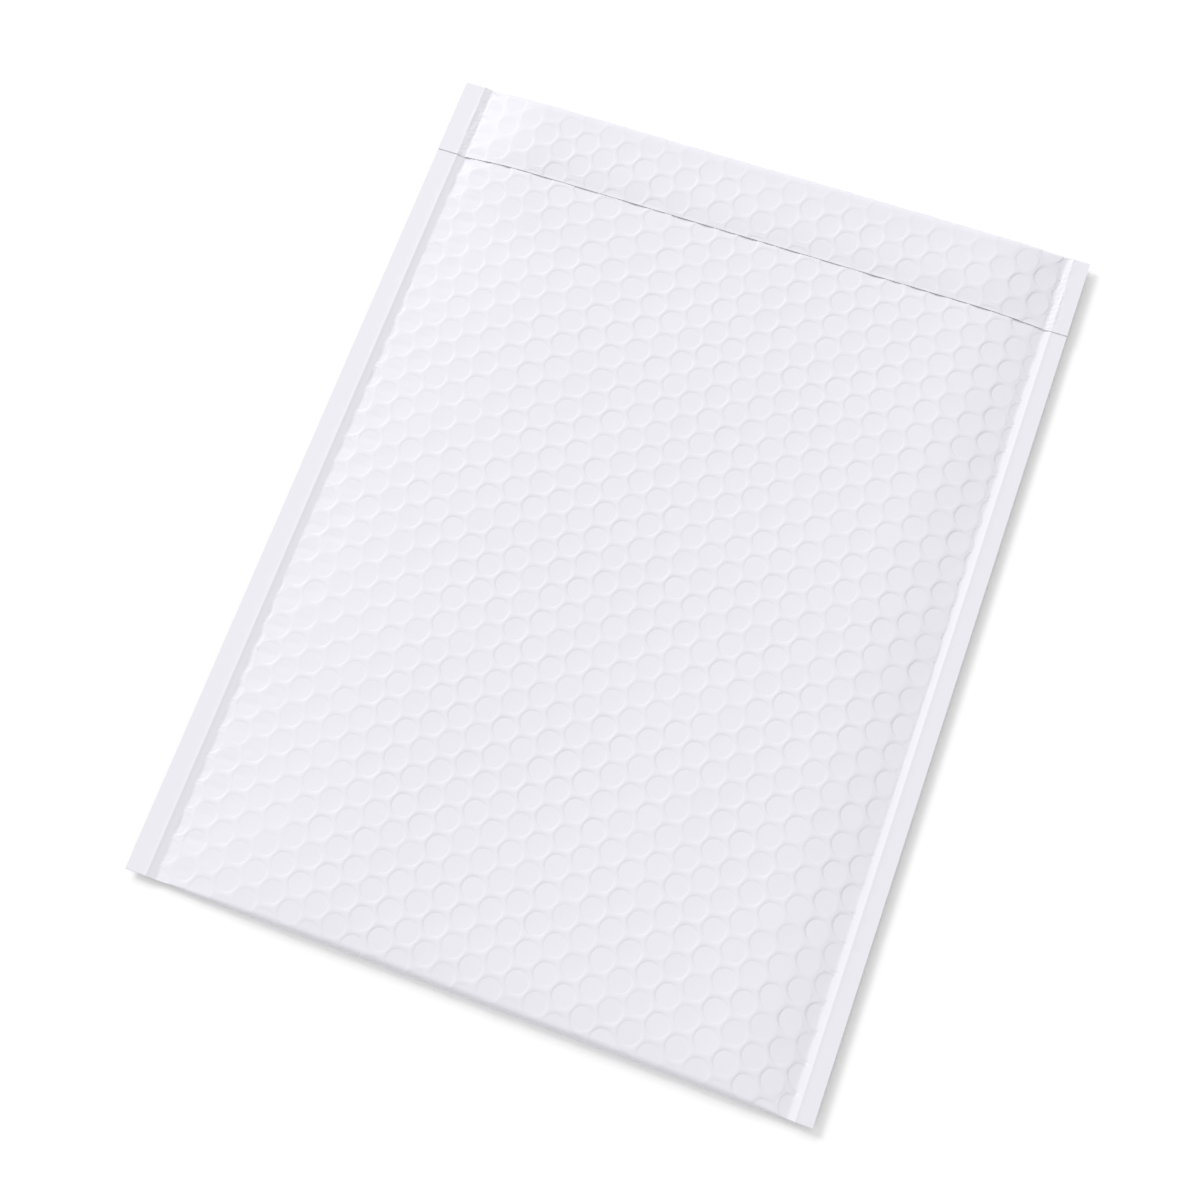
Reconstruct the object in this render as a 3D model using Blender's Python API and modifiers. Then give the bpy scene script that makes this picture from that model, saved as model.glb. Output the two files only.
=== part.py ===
"""Padded mailing envelope, empty and closed: one web of white bubble film, folded and side-sealed.

Metres, +Z up. X runs across the envelope, +Y along it towards the fold of the closing flap, and
the front panel faces up. The origin is the middle of the surface that the back panel lies on.
"""

import math

import bmesh
import bpy

# The envelope as it lies closed.
WIDTH = 0.275
LENGTH = 0.360
FLAP_DEPTH = 0.034

# The bubble film, at its full thickness and where it is cut, which lets the bubbles down.
PANEL_THICKNESS = 0.0030
FLAP_THICKNESS = 0.0019
CUT_EDGE_THICKNESS = 0.0012
CUT_EDGE_SLOPE = 0.0040
FLAP_EDGE_GAP = 0.0003

# Front and back panels touch; this is the slack between them while nothing is packed.
POCKET_GAP = 0.0003
MOUTH_CLEARANCE = 0.0008

# Under the closed flap the front panel is pressed down a little; the dip starts just before it.
FRONT_DIP = 0.0006
DIP_SLOPE = 0.0025
DIP_CLEARANCE = 0.0005

# The side seals: every layer pressed flat along both edges.
SEAL_WIDTH = 0.009
SEAL_LAYER = 0.0002
SEAL_GAP = 0.0002
SEAL_HEIGHT = 0.0028
SHOULDER_WIDTH = 0.006
SHOULDER_STATIONS = 6

# The flap's fold: how far it bulges past the straight panels, and its share of that in a seal.
FLAP_FOLD_DEPTH = 0.0038
SEALED_FOLD_SHARE = 0.25
LEAST_INNER_SHARE = 0.25
FOLD_STEPS = 14
POCKET_END_STEPS = 4
EDGE_STEPS = 4

# The self-seal strip under the flap, and the release film that still covers it.
STRIP_GAP = 0.0003
LINER_THICKNESS = 0.00010
ADHESIVE_THICKNESS = 0.00015
ADHESIVE_WIDTH = 0.014
LINER_WIDTH = 0.020
STRIP_FROM_FLAP_EDGE = 0.0135
STRIP_END_CLEARANCE = 0.016

# Where the two mirrored halves of the web join, and the angle past which an edge reads as sharp.
MERGE_DISTANCE = 0.00001
SHARP_ANGLE = math.radians(40)

BODY_HEIGHT = 2 * PANEL_THICKNESS + POCKET_GAP
STRIP_STACK = 3 * STRIP_GAP + LINER_THICKNESS + ADHESIVE_THICKNESS
FLAP_EDGE_Y = LENGTH / 2 - FLAP_DEPTH


def clear_scene():
    for obj in list(bpy.data.objects):
        bpy.data.objects.remove(obj, do_unlink=True)


def collection_named(name):
    collection = bpy.data.collections.new(name)
    bpy.context.scene.collection.children.link(collection)
    return collection


def film_material(name, colour, roughness, metallic=0.0):
    material = bpy.data.materials.new(name)
    material.use_nodes = True
    shader = material.node_tree.nodes["Principled BSDF"]
    shader.inputs["Base Color"].default_value = (*colour, 1.0)
    shader.inputs["Roughness"].default_value = roughness
    shader.inputs["Metallic"].default_value = metallic
    return material


def between(low, high, share):
    return low + (high - low) * share


def eased(share):
    """A smooth start and end for a slope: 0 to 1 with level ends."""
    return 0.5 - 0.5 * math.cos(math.pi * share)


def arc(centre_y, centre_z, reach, half_height, start, end, steps):
    """Points of an elliptical arc in the Y-Z section, both ends included; angles in degrees."""
    points = []
    for step in range(steps + 1):
        angle = math.radians(between(start, end, step / steps))
        points.append(
            (centre_y + reach * math.cos(angle), centre_z + half_height * math.sin(angle))
        )
    return points


def levels(fullness):
    """Heights of the layers where the bubbles are pressed (0, in a seal) to full (1)."""
    dip = between(0.0, FRONT_DIP, fullness)
    back_low = between(SEAL_HEIGHT, 0.0, fullness)
    back_top = back_low + between(SEAL_LAYER, PANEL_THICKNESS, fullness)
    front_low = back_top + between(SEAL_GAP, POCKET_GAP, fullness)
    front_top = front_low + between(SEAL_LAYER, PANEL_THICKNESS, fullness)
    dipped_top = front_top - dip
    flap_low = dipped_top + between(FLAP_EDGE_GAP, STRIP_STACK, fullness)
    flap_top = flap_low + between(SEAL_LAYER, FLAP_THICKNESS, fullness)
    return back_low, back_top, front_low, front_top, dipped_top, flap_low, flap_top


def web_section(fullness):
    """The folded web cut across: (points before the pocket, the pocket's, the points after).

    The points run anticlockwise seen from +X: from the flap's free edge along its inside, round
    the fold, along the back panel, in and out of the pocket, over the front panel, round the
    bottom fold, along the underside and back over the flap.
    """
    back_low, back_top, front_low, front_top, dipped_top, flap_low, flap_top = levels(fullness)
    body_height = front_top - back_low
    bottom_y = -LENGTH / 2 + body_height / 2
    fold_depth = FLAP_FOLD_DEPTH * between(SEALED_FOLD_SHARE, 1.0, fullness)
    fold_y = LENGTH / 2 - fold_depth
    film = flap_top - flap_low
    mouth_y = fold_y - MOUTH_CLEARANCE
    edge_low = dipped_top + FLAP_EDGE_GAP
    edge_film = min(film, CUT_EDGE_THICKNESS)

    flap_inside = []
    flap_outside = []
    for step in range(EDGE_STEPS + 1):
        share = step / EDGE_STEPS
        y = FLAP_EDGE_Y + CUT_EDGE_SLOPE * share
        low = between(edge_low, flap_low, eased(share))
        flap_inside.append((y, low))
        flap_outside.append((y, low + between(edge_film, film, eased(share))))

    inner_reach = max(fold_depth - film, fold_depth * LEAST_INNER_SHARE)
    inner_fold = arc(
        fold_y,
        (flap_low + back_top) / 2,
        inner_reach,
        (flap_low - back_top) / 2,
        90,
        -90,
        FOLD_STEPS,
    )
    pocket = [(mouth_y, back_top)]
    pocket += arc(
        bottom_y,
        (back_top + front_low) / 2,
        (front_low - back_top) / 2,
        (front_low - back_top) / 2,
        270,
        90,
        POCKET_END_STEPS,
    )
    pocket.append((mouth_y, front_low))
    bottom_fold = arc(
        bottom_y,
        (front_top + back_low) / 2,
        body_height / 2,
        body_height / 2,
        90,
        270,
        FOLD_STEPS,
    )
    flap_fold = arc(
        fold_y,
        (flap_top + back_low) / 2,
        fold_depth,
        (flap_top - back_low) / 2,
        -90,
        90,
        FOLD_STEPS,
    )
    dip_y = FLAP_EDGE_Y - DIP_CLEARANCE
    front = [(mouth_y, dipped_top), (dip_y, dipped_top), (dip_y - DIP_SLOPE, front_top)]
    before = flap_inside + inner_fold
    after = front + bottom_fold + flap_fold + flap_outside[::-1]
    return before, pocket, after


def folded_web(collection, material):
    """The whole film web: a loft of its section from the middle to one seal, then mirrored."""
    shoulder_start = WIDTH / 2 - SEAL_WIDTH - SHOULDER_WIDTH
    stations = [(0.0, 1.0)]
    for step in range(SHOULDER_STATIONS + 1):
        share = step / SHOULDER_STATIONS
        stations.append((shoulder_start + SHOULDER_WIDTH * share, 1 - eased(share)))

    form = bmesh.new()

    def ring(x, points):
        return [form.verts.new((x, y, z)) for y, z in points]

    def skin(first, second):
        count = len(first)
        for k in range(count):
            after = (k + 1) % count
            form.faces.new((first[k], first[after], second[after], second[k]))

    rings = []
    for x, fullness in stations:
        before, pocket, after = web_section(fullness)
        rings.append(ring(x, before + pocket + after))
    for first, second in zip(rings, rings[1:]):
        skin(first, second)

    # At the seal the pocket ends in a closed face, and only the outline carries on.
    before, pocket, after = web_section(0.0)
    inner = rings[-1]
    pocket_end = len(before) + len(pocket)
    form.faces.new(inner[len(before) : pocket_end])
    outline = before + [pocket[0], pocket[-1]] + after
    sealed = inner[: len(before) + 1] + inner[pocket_end - 1 :]
    edge = ring(WIDTH / 2, outline)
    skin(sealed, edge)
    form.faces.new(edge)

    mesh = bpy.data.meshes.new("padded_envelope")
    form.to_mesh(mesh)
    form.free()
    web = bpy.data.objects.new("padded_envelope", mesh)
    collection.objects.link(web)
    mesh.materials.append(material)
    mirror = web.modifiers.new("other half", "MIRROR")
    mirror.use_axis = (True, False, False)
    mirror.merge_threshold = MERGE_DISTANCE
    mesh.shade_smooth()
    mesh.set_sharp_from_angle(angle=SHARP_ANGLE)
    return web


def strip(name, collection, material, width, thickness, underside, centre_y):
    """A flat ribbon across the envelope, between the two seals."""
    length = WIDTH - 2 * (SEAL_WIDTH + SHOULDER_WIDTH + STRIP_END_CLEARANCE)
    bpy.ops.mesh.primitive_cube_add(size=1.0)
    ribbon = bpy.context.active_object
    ribbon.name = name
    ribbon.data.name = name
    for vertex in ribbon.data.vertices:
        vertex.co.x *= length
        vertex.co.y *= width
        vertex.co.z *= thickness
    ribbon.location = (0.0, centre_y, underside + thickness / 2)
    ribbon.data.materials.append(material)
    for holder in list(ribbon.users_collection):
        holder.objects.unlink(ribbon)
    collection.objects.link(ribbon)
    return ribbon


def self_seal(collection):
    """Release film on the front panel's side, and the adhesive above it on the flap's side."""
    centre_y = FLAP_EDGE_Y + STRIP_FROM_FLAP_EDGE
    liner_low = BODY_HEIGHT - FRONT_DIP + STRIP_GAP
    adhesive_low = liner_low + LINER_THICKNESS + STRIP_GAP
    strip(
        "release_liner",
        collection,
        film_material("siliconised release film", (0.80, 0.83, 0.86), 0.30),
        LINER_WIDTH,
        LINER_THICKNESS,
        liner_low,
        centre_y,
    )
    strip(
        "adhesive_strip",
        collection,
        film_material("hot-melt adhesive", (0.72, 0.68, 0.55), 0.25),
        ADHESIVE_WIDTH,
        ADHESIVE_THICKNESS,
        adhesive_low,
        centre_y,
    )


clear_scene()
parts = collection_named("padded mailing envelope")
folded_web(parts, film_material("white polyethylene film", (0.82, 0.81, 0.86), 0.38))
self_seal(parts)
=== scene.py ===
import math

import bmesh
import bpy
import numpy as np
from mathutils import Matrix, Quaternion, Vector


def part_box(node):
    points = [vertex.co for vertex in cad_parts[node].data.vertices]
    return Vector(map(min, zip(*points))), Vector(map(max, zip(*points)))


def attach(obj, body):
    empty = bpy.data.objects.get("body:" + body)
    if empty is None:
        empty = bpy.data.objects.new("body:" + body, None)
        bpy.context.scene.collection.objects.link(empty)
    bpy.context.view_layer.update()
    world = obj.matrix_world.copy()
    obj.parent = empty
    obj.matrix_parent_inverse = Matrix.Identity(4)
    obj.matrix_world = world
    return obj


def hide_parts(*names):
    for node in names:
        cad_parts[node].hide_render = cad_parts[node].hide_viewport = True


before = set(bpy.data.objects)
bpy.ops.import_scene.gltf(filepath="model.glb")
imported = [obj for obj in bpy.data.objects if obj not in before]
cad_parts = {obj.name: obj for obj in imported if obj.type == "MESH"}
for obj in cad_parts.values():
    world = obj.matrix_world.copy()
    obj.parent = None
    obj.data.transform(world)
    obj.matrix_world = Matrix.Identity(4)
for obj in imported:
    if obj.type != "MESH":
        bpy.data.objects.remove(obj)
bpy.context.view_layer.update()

# Camera: a 51 mm lens looks steeply down on the envelope from over its lower right corner, and
# is turned a little, so that the envelope lies aslant in the picture.
camera_data = bpy.data.cameras.new("camera")
camera_data.sensor_width = 36.0
camera_data.lens = 51.44
camera = bpy.data.objects.new("camera", camera_data)
bpy.context.scene.collection.objects.link(camera)
bpy.context.scene.camera = camera
camera.location = (0.0995, -0.1819, 0.6491)
aim = Vector((-0.0027, -0.0199, 0.0030))
camera_roll = Quaternion((0.0, 0.0, 1.0), math.radians(-12.54))
camera.rotation_euler = (
    (aim - camera.location).to_track_quat("-Z", "Y") @ camera_roll
).to_euler()


# Studio: a table with a white laminate top, under a white ceiling that darkens towards the
# walls. Two large round softboxes stand far off to the left and behind, low enough to rake over
# the film and show its bubbles.
def linear(hex_colour):
    """An sRGB hex colour as linear RGBA."""
    channels = [int(hex_colour[i : i + 2], 16) / 255 for i in (1, 3, 5)]
    curve = [c / 12.92 if c <= 0.04045 else ((c + 0.055) / 1.055) ** 2.4 for c in channels]
    return (*curve, 1.0)


def new_material(name):
    material = bpy.data.materials.new(name)
    material.use_nodes = True
    return material, material.node_tree.nodes["Principled BSDF"]


def node(tree, kind, settings=(), inputs=(), links=()):
    """Adds a node: (property, value) settings, (input, value) constants, (input, output) links."""
    added = tree.nodes.new(kind)
    for name, value in settings:
        setattr(added, name, value)
    for name, value in inputs:
        added.inputs[name].default_value = value
    for name, output in links:
        tree.links.new(output, added.inputs[name])
    return added


table_half = 3.0
table_corners = ((-1, -1), (1, -1), (1, 1), (-1, 1))
table_mesh = bpy.data.meshes.new("table_top")
table_mesh.from_pydata(
    [(x * table_half, y * table_half, 0.0) for x, y in table_corners], [], [(0, 1, 2, 3)]
)
table = bpy.data.objects.new("table_top", table_mesh)
bpy.context.scene.collection.objects.link(table)
white_laminate, laminate_shader = new_material("white laminate")
laminate_shader.inputs["Base Color"].default_value = linear("#fcfcfc")
laminate_shader.inputs["Roughness"].default_value = 0.9
laminate_shader.inputs["Specular IOR Level"].default_value = 0.1
table_mesh.materials.append(white_laminate)

bpy.context.scene.view_settings.view_transform = "Standard"
room = bpy.data.worlds.new("white room")
bpy.context.scene.world = room
room.use_nodes = True
room_tree = room.node_tree
room_place = node(room_tree, "ShaderNodeTexCoord")
upward = node(
    room_tree, "ShaderNodeSeparateXYZ", links=[("Vector", room_place.outputs["Generated"])]
)
ceiling = node(
    room_tree,
    "ShaderNodeMapRange",
    inputs=[("From Min", 0.0), ("From Max", 1.0), ("To Min", 0.32), ("To Max", 0.99)],
    links=[("Value", upward.outputs["Z"])],
)
background = room_tree.nodes["Background"]
background.inputs["Color"].default_value = (1.0, 1.0, 1.0, 1.0)
room_tree.links.new(ceiling.outputs["Result"], background.inputs["Strength"])


def softbox(name, place, size, watts):
    """A round soft lamp that faces the middle of the envelope."""
    lamp = bpy.data.lights.new(name, "AREA")
    lamp.shape = "DISK"
    lamp.size = size
    lamp.energy = watts
    holder = bpy.data.objects.new(name, lamp)
    bpy.context.scene.collection.objects.link(holder)
    holder.location = place
    holder.rotation_euler = (-holder.location).to_track_quat("-Z", "Y").to_euler()


softbox("low_softbox", (-6.9, 3.4, 5.0), 2.4, 305.0)
softbox("rear_softbox", (-5.2, 6.6, 5.4), 2.4, 180.0)

# The web of film: one length of white polyethylene with bubble film laminated inside it, which
# makes the whole envelope. The bubbles stand in rows along the web. The rows run a little aslant
# and lean outwards near the web's left side, where the bubbles also stand a little closer.
MM = 0.001
envelope_low, envelope_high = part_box("padded_envelope")
half_width = (envelope_high[0] - envelope_low[0]) / 2
half_length = (envelope_high[1] - envelope_low[1]) / 2

bubble_pitch = 11.15 * MM
row_spacing = 9.03 * MM
row_stagger = 6.10 * MM
web_skew = math.radians(1.54)
lean_from = -5.0 * MM
lean_to = -95.0 * MM
lean_per_metre = 0.118
lean_end = 325.0 * MM
closer_above = 215.0 * MM
closer_per_metre = 0.15


def eased(share):
    """0 to 1 with level ends, and held at both."""
    share = np.clip(share, 0.0, 1.0)
    return share * share * (3 - 2 * share)


def mixed(low, high, share):
    return low + (high - low) * share


class BubbleRows:
    """The rows of bubbles on a stretch of web, laid out from one bubble's centre (x, s).

    x runs across the web and s along it. In the lattice's own plane (u, v) the rows are regular.
    """

    def __init__(self, x, s, leans=False):
        self.x = x
        self.s = s
        self.leans = leans

    def even(self, x, s):
        """Where web points lie in the plane of the regular lattice."""
        u = x - self.x - math.tan(web_skew) * (s - self.s)
        v = s - self.s
        if self.leans:
            side = eased((lean_from - x) / (lean_from - lean_to))
            u = u + lean_per_metre * side * np.maximum(lean_end - s, 0.0) ** 2
            v = v - closer_per_metre * np.maximum(closer_above - s, 0.0) ** 2
        return u, v

    def on_web(self, u, v):
        """Web points of places in the regular lattice."""
        x, s = u + self.x, v + self.s
        for _ in range(8):
            u_now, v_now = self.even(x, s)
            x, s = x + u - u_now, s + v - v_now
        return x, s

    def nearest(self, x, s):
        """Each point's distance from its bubble's centre, the bubble's row and place, and x, s."""
        u, v = self.even(x, s)
        best = np.full(u.shape, 1.0)
        row_of = np.zeros_like(u)
        place_of = np.zeros_like(u)
        for row_step in (-1, 0, 1, 2):
            row = np.floor(u / row_spacing) + row_step
            for place_step in (0, 1):
                place = np.floor((v + row * row_stagger) / bubble_pitch) + place_step
                centre_v = place * bubble_pitch - row * row_stagger
                distance = np.hypot(u - row * row_spacing, v - centre_v)
                closer = distance < best
                best = np.where(closer, distance, best)
                row_of = np.where(closer, row, row_of)
                place_of = np.where(closer, place, place_of)
        centre_x, centre_s = self.on_web(
            row_of * row_spacing, place_of * bubble_pitch - row_of * row_stagger
        )
        return best, row_of, place_of, centre_x, centre_s


# How the web is folded: front panel, bottom fold, back panel, the flap's fold and the flap, each
# with its length along the web (s), from the mouth to the flap's free edge. Two layers of bubble
# film lie on each other, and the flap, its edge let down, lies on both.
panel_thickness = 3.0 * MM
pocket_gap = 0.3 * MM
mouth_clearance = 0.8 * MM
bottom_drop = 0.7 * MM
bottom_slope = 13.0 * MM
front_dip = 0.6 * MM
dip_slope = 2.5 * MM
dip_under_flap = 1.8 * MM
flap_depth = 34.0 * MM
flap_thickness = 0.9 * MM
flap_lift = 1.05 * MM
flap_edge_rise = 0.77 * MM
flap_edge_slope = 14.0 * MM
flap_fold_depth = 3.8 * MM
flap_fold_run = 12.0 * MM

body_height = 2 * panel_thickness + pocket_gap
flap_edge_y = half_length - flap_depth
fold_radius = body_height / 2
mouth_y = half_length - flap_fold_depth - mouth_clearance
front_run = mouth_y + half_length - fold_radius
bottom_run = math.pi * fold_radius
back_run = 2 * half_length - fold_radius - flap_fold_depth
flap_run = flap_depth - flap_fold_depth
back_start = front_run + bottom_run
flap_fold_start = back_start + back_run
flap_start = flap_fold_start + flap_fold_run
web_end = flap_start + flap_run

# The side seals hold all the layers pressed flat, at half the body's height.
seal_height = 2.8 * MM
seal_thickness = 0.6 * MM
seal_flap_gap = 0.1 * MM
seal_flap_thickness = 0.25 * MM
seal_fold_share = 0.25


def layer_levels(full):
    """Heights of the faces of the layers, from pressed flat in a seal (0) to full (1)."""
    back_low = mixed(seal_height, 0.0, full)
    front_top = mixed(seal_height + seal_thickness, body_height, full)
    dipped = front_top - front_dip * full
    flap_low = dipped + mixed(seal_flap_gap, flap_lift, full)
    flap_top = flap_low + mixed(seal_flap_thickness, flap_thickness, full)
    return back_low, front_top, dipped, flap_top


def fold_up(x, s, full, relief):
    """Places points of the web's outer face, given across and along it, on the closed envelope."""
    back_low, front_top, dipped, flap_top = layer_levels(full)
    height = front_top - back_low
    bottom_y = -half_length + height / 2
    fold_depth = flap_fold_depth * mixed(seal_fold_share, 1.0, full)
    fold_y = half_length - fold_depth

    front_y = mixed(mouth_y, bottom_y, s / front_run)
    under_flap = 1 - eased((flap_edge_y + dip_under_flap - front_y) / dip_slope)
    near_bottom = np.clip(1 - (front_run - s) / bottom_slope, 0.0, 1.0) ** 2
    front_z = mixed(front_top, dipped, under_flap) - bottom_drop * full * near_bottom
    bottom_angle = math.pi / 2 + math.pi * (s - front_run) / bottom_run
    bottom_z = (
        (front_top + back_low) / 2
        + height / 2 * np.sin(bottom_angle)
        - bottom_drop * full * (1 + np.sin(bottom_angle)) / 2
    )
    back_y = mixed(bottom_y, fold_y, (s - back_start) / back_run)
    fold_angle = -math.pi / 2 + math.pi * (s - flap_fold_start) / flap_fold_run
    fold_z = (flap_top + back_low) / 2 + (flap_top - back_low) / 2 * np.sin(fold_angle)
    flap_y = mixed(fold_y, flap_edge_y, (s - flap_start) / flap_run)
    near_edge = (1 - np.clip((flap_y - flap_edge_y) / flap_edge_slope, 0.0, 1.0)) ** 2
    edge_top = dipped + mixed(seal_flap_gap + seal_flap_thickness, flap_edge_rise, full)
    flap_z = mixed(flap_top, edge_top, near_edge)

    level = 0 * s
    stretches = [
        (s <= front_run, front_y, front_z, level, level + 1),
        (
            s <= back_start,
            bottom_y + height / 2 * np.cos(bottom_angle),
            bottom_z,
            np.cos(bottom_angle),
            np.sin(bottom_angle),
        ),
        (s <= flap_fold_start, back_y, back_low, level, level - 1),
        (
            s <= flap_start,
            fold_y + fold_depth * np.cos(fold_angle),
            fold_z,
            np.cos(fold_angle),
            np.sin(fold_angle),
        ),
        (s > flap_start, flap_y, flap_z, level, level + 1),
    ]
    within, y, z, normal_y, normal_z = [list(column) for column in zip(*stretches)]
    y = np.select(within, y) + np.select(within, normal_y) * relief
    z = np.select(within, z) + np.select(within, normal_z) * relief
    return np.column_stack([x, y, z])


# The face of the film. Each bubble shows as a shallow dish with a crisp rim, and no two are
# quite alike. Beside the left seal they have buckled and have a crease across.
bubble_radius = 4.65 * MM
rim_width = 0.44 * MM
rim_lip = 0.055 * MM
rim_lip_reach = 0.2 * MM
dish_depth = 0.155 * MM
dish_depth_spread = (0.75, 1.2)
dish_sag = 0.09 * MM
dish_sag_spread = (0.3, 1.7)
dish_tip_spread = (-0.012, 0.012)
fold_flattening = 0.6
wave_height = 0.10 * MM
left_buckled = 32.0 * MM
crease_depth = 0.17 * MM
crease_depth_spread = (0.4, 1.0)
crease_width = 1.3 * MM
crease_offset_spread = (-1.0 * MM, 1.2 * MM)

# Beside each seal: a valley where the hot bar has drawn the film down, a slack shoulder from
# there up to the full bubbles, and a pinch where the film between two bubbles runs into the
# seal. In the flap's ends all the layers have crumpled.
left_valley = 11.9 * MM
left_valley_width = 3.2 * MM
right_valley = 9.2 * MM
right_valley_width = 2.4 * MM
valley_slope = 0.26
strip_lip = 0.10 * MM
strip_lip_width = 0.5 * MM
left_shoulder = 75.0 * MM
right_shoulder = 34.0 * MM
flap_shoulder = 32.0 * MM
stiffness = 0.25
pinch_depth = 0.35 * MM
pinch_depth_spread = (0.3, 1.0)
pinch_width = 0.5 * MM
pinch_reach = 1.5 * MM
left_pinch_share = 0.3
crumple_depth = 0.10 * MM
crumple_length = 0.55 * MM
crumple_width = 2.6 * MM
crumple_outwards = 1.5 * MM


def inside_valley(x):
    """Distance inwards from the bottom of the valley along the nearer side seal."""
    return half_width - np.where(x < 0, left_valley, right_valley) - np.abs(x)


class WebPoints:
    """Points of the flat web (x, s), each with its bubble and its distance from the seal."""

    def __init__(self, x, s, rows):
        self.x = x
        self.s = s
        self.distance, self.row, self.place, self.centre_x, self.centre_s = rows.nearest(x, s)
        self.left = x < 0
        self.inwards = inside_valley(x)
        self.centre_inwards = inside_valley(self.centre_x)
        self.outside_dish = np.clip((self.distance - bubble_radius) / rim_width + 0.5, 0.0, 1.0)

    def chance(self, spread, salt):
        """A value within the spread that is settled by which bubble it is."""
        mixer = np.sin(self.row * 12.9898 + self.place * 78.233 + salt * 37.719) * 43758.5453
        return mixed(*spread, np.abs(mixer) % 1.0)


def fullness(web):
    """How far the layers have risen from the seal (0) to full bubbles (1).

    Film over a bubble stays stiff, so the shoulder climbs in scallops round the first ones.
    """
    dish = 1 - web.outside_dish
    held = dish * eased(web.centre_inwards / (3.0 * MM)) * eased(web.inwards / (1.0 * MM))
    stiff = mixed(web.inwards, web.centre_inwards, stiffness) + 0.3 * MM
    slack = web.inwards - np.where(web.left, 0.5 * MM, 0.0)
    run = mixed(slack, stiff, held)
    in_flap = eased((web.s - flap_fold_start + 30 * MM) / (25 * MM))
    by_flap = 1 - eased((web.s - (mouth_y - flap_edge_y)) / (35 * MM))
    side_shoulder = np.where(web.left, left_shoulder, right_shoulder)
    shoulder = mixed(side_shoulder, flap_shoulder, in_flap + by_flap)
    return 1 - (1 - np.clip(run / shoulder, 0, 1)) ** 2


def dishes(web):
    """Height of the dishes, rims and creases above the smooth web."""
    dish = 1 - web.outside_dish
    depth = dish_depth * web.chance(dish_depth_spread, 1)
    sag = dish_sag * web.chance(dish_sag_spread, 2)
    tip_x = web.chance(dish_tip_spread, 3) * (web.x - web.centre_x)
    tip_s = web.chance(dish_tip_spread, 4) * (web.s - web.centre_s)
    bowl = 1 - np.clip(web.distance / bubble_radius, 0, 1) ** 2
    from_lip = np.abs(web.distance - bubble_radius - rim_width / 2)
    lip = rim_lip * np.clip(1 - from_lip / rim_lip_reach, 0, 1)
    in_bottom_fold = eased((web.s - front_run + 3 * MM) / (5 * MM)) * (
        1 - eased((web.s - back_start - 2 * MM) / (5 * MM))
    )
    in_flap_fold = eased((web.s - flap_fold_start + 3 * MM) / (5 * MM)) * (
        1 - eased((web.s - flap_start - 2 * MM) / (6 * MM))
    )
    relief = (tip_x + tip_s - depth) * dish - sag * bowl + lip
    relief = relief * eased((web.inwards + 0.2 * MM) / (1.0 * MM))
    relief = relief * (1 - fold_flattening * (in_bottom_fold + in_flap_fold))
    relief = relief * eased((web_end - web.s) / (1.0 * MM))

    buckled = eased((left_buckled - (web.x + half_width)) / (6 * MM))
    crease_at = web.centre_s - web.chance(crease_offset_spread, 6)
    crease = np.exp(-(((web.s - crease_at) / crease_width) ** 2)) * eased(web.inwards / (1.5 * MM))
    return relief - crease_depth * buckled * web.chance(crease_depth_spread, 5) * crease * dish


def waves(web):
    """The upper side isn't dead flat either: slow waves that fade at the flap's edge and folds."""
    x, s = web.x, web.s
    wave = np.sin(x * 61.0 + s * 17.0) + np.sin(x * -23.0 + s * 47.0 + 1.3) + np.sin(s * 83.0 + 0.4)
    on_front = eased((s - (mouth_y - flap_edge_y)) / (30 * MM)) * (
        1 - eased((s - front_run) / bottom_run)
    )
    on_flap = eased((s - flap_fold_start) / flap_fold_run) * eased((web_end - s) / (25 * MM))
    return wave_height * wave * (on_front + on_flap)


def crumples(web):
    """Ripples along the seals of the flap, where they run through its fold."""
    x, s = web.x, web.s
    across = np.exp(-(((web.inwards + crumple_outwards) / crumple_width) ** 2))
    ripple = np.sin(s / crumple_length + 2.5 * np.sin(s / (1.7 * crumple_length) + x / MM))
    return crumple_depth * eased((s - flap_fold_start) / (4.0 * MM)) * across * ripple


def valleys(web, full):
    """How far the seals draw all the layers down."""
    width = np.where(web.left, left_valley_width, right_valley_width)
    ramp = np.clip(1 + web.inwards / width, 0, 1)
    valley = valley_slope * width * np.where(web.inwards < 0, ramp, 1 - full)
    from_lip = (web.inwards + width + 0.2 * MM) / strip_lip_width
    lip = strip_lip * np.exp(-(from_lip**2))
    from_gap = bubble_pitch / 2 - np.abs(web.s - web.centre_s)
    pinch = np.exp(
        -((from_gap / pinch_width) ** 2) - ((web.inwards - 0.3 * MM) / pinch_reach) ** 2
    )
    pinch = pinch * eased(web.inwards / (1.2 * MM) + 1) * np.where(web.left, left_pinch_share, 1.0)
    return valley - lip + pinch_depth * web.chance(pinch_depth_spread, 7) * pinch


def raised_web(flat, rows):
    """Lays a flat web mesh onto the envelope and gives it its bubbles, shoulders and seals."""
    flat_points = np.empty(len(flat.vertices) * 3)
    flat.vertices.foreach_get("co", flat_points)
    x, s = flat_points.reshape(-1, 3)[:, :2].T
    web = WebPoints(x, s, rows)
    full = fullness(web)
    points = fold_up(x, s, full, dishes(web) + waves(web) * full + crumples(web))
    points[:, 2] -= valleys(web, full)
    flat.vertices.foreach_set("co", points.ravel())
    flat.flip_normals()
    flat.update()


# The mesh of the film follows the bubbles: a six-sided cell round each one, with rings of points
# at its rim. The cells are cut off at the web's edges, and cut through along the seals and folds.
weld_distance = 0.02 * MM
cut_distance = 0.01 * MM
spare_cells = 4
finer_passes = 2


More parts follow.
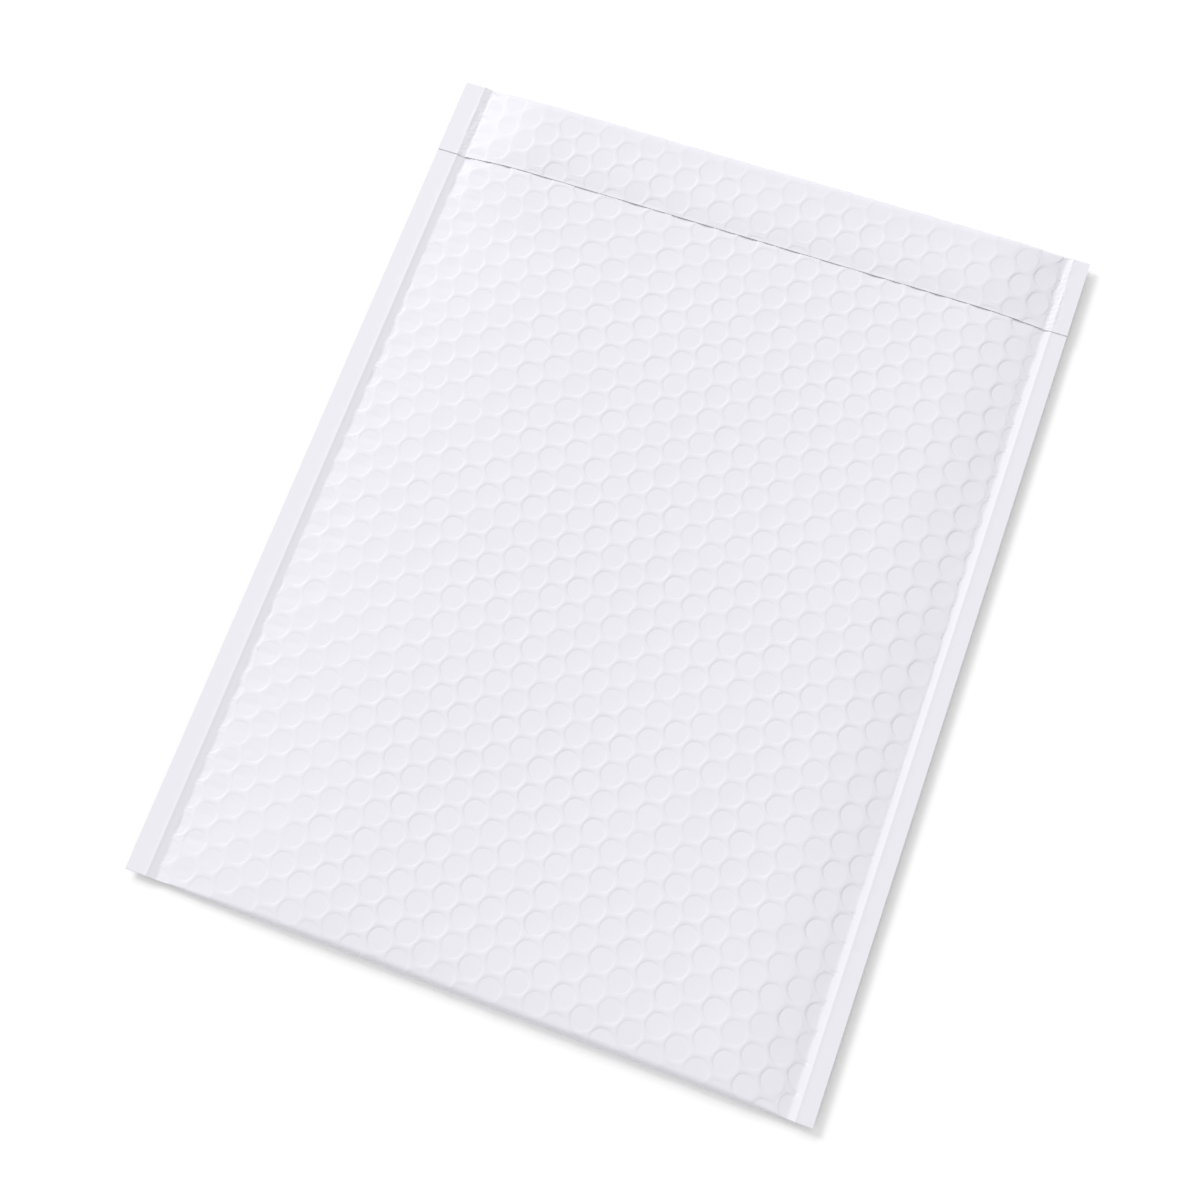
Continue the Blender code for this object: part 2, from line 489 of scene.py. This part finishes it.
def cell_pattern(spokes, ring_shares):
    """One cell of the film round a bubble: points (u, v), triangles and quads."""
    sides = [
        (0.0, -bubble_pitch),
        (row_spacing, -row_stagger),
        (row_spacing, bubble_pitch - row_stagger),
        (0.0, bubble_pitch),
        (-row_spacing, row_stagger),
        (-row_spacing, row_stagger - bubble_pitch),
    ]
    sides = np.array(sides)
    corners = (sides + np.roll(sides, -1, axis=0)) / 3
    parts = spokes // 6
    border = []
    for corner, following in zip(corners, np.roll(corners, -1, axis=0)):
        border += [mixed(corner, following, part / parts) for part in range(parts)]
    border = np.array(border)
    direction = border / np.linalg.norm(border, axis=1, keepdims=True)
    rings = [direction * bubble_radius * share for share in ring_shares] + [border]
    points = np.concatenate([np.zeros((1, 2))] + rings)
    step = np.arange(spokes)
    after = (step + 1) % spokes
    triangles = np.stack([0 * step, 1 + step, 1 + after], axis=1)
    quads = []
    for ring in range(len(ring_shares)):
        inner = 1 + ring * spokes
        outer = inner + spokes
        quads.append(np.stack([inner + step, outer + step, outer + after, inner + after], 1))
    return points, triangles, np.concatenate(quads)


def flat_cells(name, rows, start, end, spokes, ring_shares):
    """A flat mesh (x, s, 0) of the cells that reach the web between two lengths along it."""
    pattern, triangles, quads = cell_pattern(spokes, ring_shares)
    row_reach = 2 * (int(half_width / row_spacing) + spare_cells)
    centres = []
    for row in range(-row_reach, row_reach + 1):
        first = int((start - rows.s + row * row_stagger) / bubble_pitch) - spare_cells
        last = int((end - rows.s + row * row_stagger) / bubble_pitch) + spare_cells
        for place in range(first, last + 1):
            centres.append((row * row_spacing, place * bubble_pitch - row * row_stagger))
    centres = np.array(centres)
    centre_x, centre_s = rows.on_web(centres[:, 0], centres[:, 1])
    near = (np.abs(centre_x) < half_width + bubble_pitch) & (
        (centre_s > start - bubble_pitch) & (centre_s < end + bubble_pitch)
    )
    centres = centres[near]
    points = (centres[:, None] + pattern[None]).reshape(-1, 2)
    x, s = rows.on_web(points[:, 0], points[:, 1])
    base = (np.arange(len(centres)) * len(pattern))[:, None, None]
    faces = (triangles[None] + base).reshape(-1, 3).tolist()
    faces += (quads[None] + base).reshape(-1, 4).tolist()
    flat = bpy.data.meshes.new(name)
    flat.from_pydata(np.column_stack([x, s, 0 * x]).tolist(), [], faces)
    return flat


def cut_off(form, place, outwards):
    """Cuts off what lies past a place on one of the web's four borders."""
    bmesh.ops.bisect_plane(
        form,
        geom=form.verts[:] + form.edges[:] + form.faces[:],
        dist=cut_distance,
        plane_co=place,
        plane_no=outwards,
        clear_outer=True,
    )


def cut_through(form, axis, value):
    """Cuts the faces that meet a line of one x (axis 0) or of one s (axis 1)."""
    faces = [f for f in form.faces if abs(f.verts[0].co[axis] - value) < bubble_pitch / 2]
    edges = dict.fromkeys(edge for face in faces for edge in face.edges)
    verts = dict.fromkeys(vert for face in faces for vert in face.verts)
    place = [0.0, 0.0, 0.0]
    place[axis] = value
    normal = [0.0, 0.0, 0.0]
    normal[axis] = 1.0
    bmesh.ops.bisect_plane(
        form,
        geom=[*verts, *edges, *faces],
        dist=weld_distance,
        plane_co=place,
        plane_no=normal,
    )


def flat_web(name, rows, start, end, spokes, ring_shares, lines_x, lines_s, finer=()):
    """The web from one length to another as a flat mesh that follows each bubble.

    finer holds strips of the web (least x, greatest x) with the longest edge they may have.
    """
    flat = flat_cells(name, rows, start, end, spokes, ring_shares)
    form = bmesh.new()
    form.from_mesh(flat)
    bmesh.ops.remove_doubles(form, verts=form.verts, dist=weld_distance)
    cut_off(form, (half_width, 0, 0), (1, 0, 0))
    cut_off(form, (-half_width, 0, 0), (-1, 0, 0))
    cut_off(form, (0, end, 0), (0, 1, 0))
    cut_off(form, (0, start, 0), (0, -1, 0))
    for axis, values in ((0, lines_x), (1, lines_s)):
        for value in values:
            cut_through(form, axis, value)
    for least_x, greatest_x, longest in finer:
        for _ in range(finer_passes):
            long_edges = [
                edge
                for edge in form.edges
                if edge.calc_length() > longest
                and all(least_x < v.co.x < greatest_x for v in edge.verts)
            ]
            bmesh.ops.subdivide_edges(form, edges=long_edges, cuts=1, use_grid_fill=True)
    bmesh.ops.triangulate(form, faces=[f for f in form.faces if len(f.verts) > 4])
    form.to_mesh(flat)
    form.free()
    return flat


def closed_sides(flat, centre_z):
    """Turns the film in along both side edges, down or up to the middle of the sealed layers."""
    form = bmesh.new()
    form.from_mesh(flat)
    edges = [
        edge
        for edge in form.edges
        if edge.is_boundary
        and all(abs(v.co.x) > half_width - weld_distance for v in edge.verts)
    ]
    added = bmesh.ops.extrude_edge_only(form, edges=edges)
    for element in added["geom"]:
        if isinstance(element, bmesh.types.BMVert):
            element.co.z = centre_z
            element.co.y = min(
                max(element.co.y, -half_length + seal_thickness / 2), half_length - 0.5 * MM
            )
    form.to_mesh(flat)
    form.free()


# White polyethylene film, blown and slightly glossy: a soft sheen over a cool white, with the
# faint unevenness of blown film.
white_film, film_shader = new_material("white polyethylene film")
film_shader.inputs["Base Color"].default_value = linear("#e6e5ec")
film_shader.inputs["Roughness"].default_value = 0.46
film_shader.inputs["Specular IOR Level"].default_value = 0.28
film_shader.inputs["IOR"].default_value = 1.5
film_tree = white_film.node_tree
film_place = node(film_tree, "ShaderNodeTexCoord")
unevenness = node(
    film_tree,
    "ShaderNodeTexNoise",
    inputs=[("Scale", 1 / (2.2 * MM)), ("Detail", 3.0), ("Roughness", 0.6)],
    links=[("Vector", film_place.outputs["Object"])],
)
film_bump = node(
    film_tree,
    "ShaderNodeBump",
    inputs=[("Strength", 0.35), ("Distance", 0.05 * MM)],
    links=[("Height", unevenness.outputs["Fac"])],
)
film_tree.links.new(film_bump.outputs["Normal"], film_shader.inputs["Normal"])


def film_piece(name, flat):
    """A stretch of the web as a piece that stands for the envelope."""
    piece = bpy.data.objects.new(name, flat)
    bpy.context.scene.collection.objects.link(piece)
    flat.materials.append(white_film)
    flat.shade_smooth()
    flat.set_sharp_from_angle(angle=math.radians(50))
    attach(piece, "root")
    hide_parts("padded_envelope")


# Front panel: the upper side. The web starts at the mouth, under the flap, runs down to the
# bottom fold and goes round it. Its bubbles are laid out from one of them, near the mouth.
front_rows = BubbleRows(-29.44 * MM, mouth_y + 31.49 * MM, leans=True)
front_end = back_start + 8.0 * MM
rim_rings = (0.905, 0.95, 1.05)
bottom_lines = [front_run + bottom_run * step / 10 for step in range(11)]
seal_lines = []
seal_strips = [(left_valley - half_width + 2.5 * MM, left_buckled - half_width, 1.9 * MM)]
for side, valley, width in (
    (-1, left_valley, left_valley_width),
    (1, right_valley, right_valley_width),
):
    valley_x = half_width - valley
    offsets = [offset * MM for offset in (-5.5, -4.0, -2.8, -1.8, -0.9, 0.0)]
    offsets += [share * width for share in (0.3, 0.6, 0.9, 1.0)]
    offsets += [width + offset * MM for offset in (0.2, 0.5, 0.9)]
    seal_lines += [side * (valley_x + offset) for offset in offsets]
seal_strips.append(
    (left_valley - half_width - 2.5 * MM, left_valley - half_width + 2.5 * MM, 0.8 * MM)
)
seal_strips.append(
    (half_width - right_valley - 3.0 * MM, half_width - right_valley + 2.5 * MM, 0.8 * MM)
)
front_mesh = flat_web(
    "front_panel", front_rows, 0.0, front_end, 18, rim_rings, seal_lines, bottom_lines, seal_strips
)
raised_web(front_mesh, front_rows)
sealed_middle = seal_height + seal_thickness / 2
closed_sides(front_mesh, sealed_middle)
film_piece("front_panel", front_mesh)

# Back panel: the side that lies on the table. The web runs on from the bottom fold with the same
# rows of bubbles, and is sealed to the front panel along both sides.
back_end = flap_fold_start - 8.0 * MM
back_mesh = flat_web(
    "back_panel", front_rows, front_end, back_end, 12, (0.7, 0.95, 1.1), seal_lines, ()
)
raised_web(back_mesh, front_rows)
closed_sides(back_mesh, sealed_middle)
film_piece("back_panel", back_mesh)

# Flap: the web's long end, folded over the mouth and cut off straight. Its bubbles are laid out
# from one of them near the free edge, where the film shows its cut face and a little of its
# inner side.
flap_rows = BubbleRows(59.1 * MM, web_end - 11.2 * MM)
flap_edge_thickness = 0.2 * MM
inner_side_shown = 3.0 * MM
flap_sealed_rise = 0.3 * MM
flap_lines = [flap_fold_start + flap_fold_run * step / 10 for step in range(11)]
flap_lines += [web_end - distance * MM for distance in (4.0, 3.0, 2.0, 1.0)]


def closed_free_edge(flat):
    """Gives the flap's free edge its cut face and the first of its inner side."""
    form = bmesh.new()
    form.from_mesh(flat)
    edges = [
        edge
        for edge in form.edges
        if edge.is_boundary and all(abs(v.co.y - flap_edge_y) < 0.05 * MM for v in edge.verts)
    ]
    for shift in ((0, 0, -flap_edge_thickness), (0, inner_side_shown, 0)):
        added = bmesh.ops.extrude_edge_only(form, edges=edges)["geom"]
        bmesh.ops.translate(
            form, verts=[e for e in added if isinstance(e, bmesh.types.BMVert)], vec=shift
        )
        edges = [e for e in added if isinstance(e, bmesh.types.BMEdge)]
    form.to_mesh(flat)
    form.free()


flap_mesh = flat_web(
    "flap", flap_rows, back_end, web_end, 18, rim_rings, seal_lines, flap_lines, seal_strips
)
raised_web(flap_mesh, flap_rows)
closed_sides(flap_mesh, sealed_middle + flap_sealed_rise)
closed_free_edge(flap_mesh)
film_piece("flap", flap_mesh)

# Self-seal: a line of hot-melt adhesive on the inner side of the flap, still covered by the
# siliconised film that is peeled off before closing. Both are plain ribbons, as in the frame.
hot_melt, hot_melt_shader = new_material("hot-melt adhesive")
hot_melt_shader.inputs["Base Color"].default_value = linear("#e8dfc4")
hot_melt_shader.inputs["Roughness"].default_value = 0.22
hot_melt_shader.inputs["Transmission Weight"].default_value = 0.35
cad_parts["adhesive_strip"].material_slots[0].material = hot_melt

release_film, release_shader = new_material("siliconised release film")
release_shader.inputs["Base Color"].default_value = linear("#dfe5ea")
release_shader.inputs["Roughness"].default_value = 0.28
release_shader.inputs["Coat Weight"].default_value = 0.4
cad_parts["release_liner"].material_slots[0].material = release_film
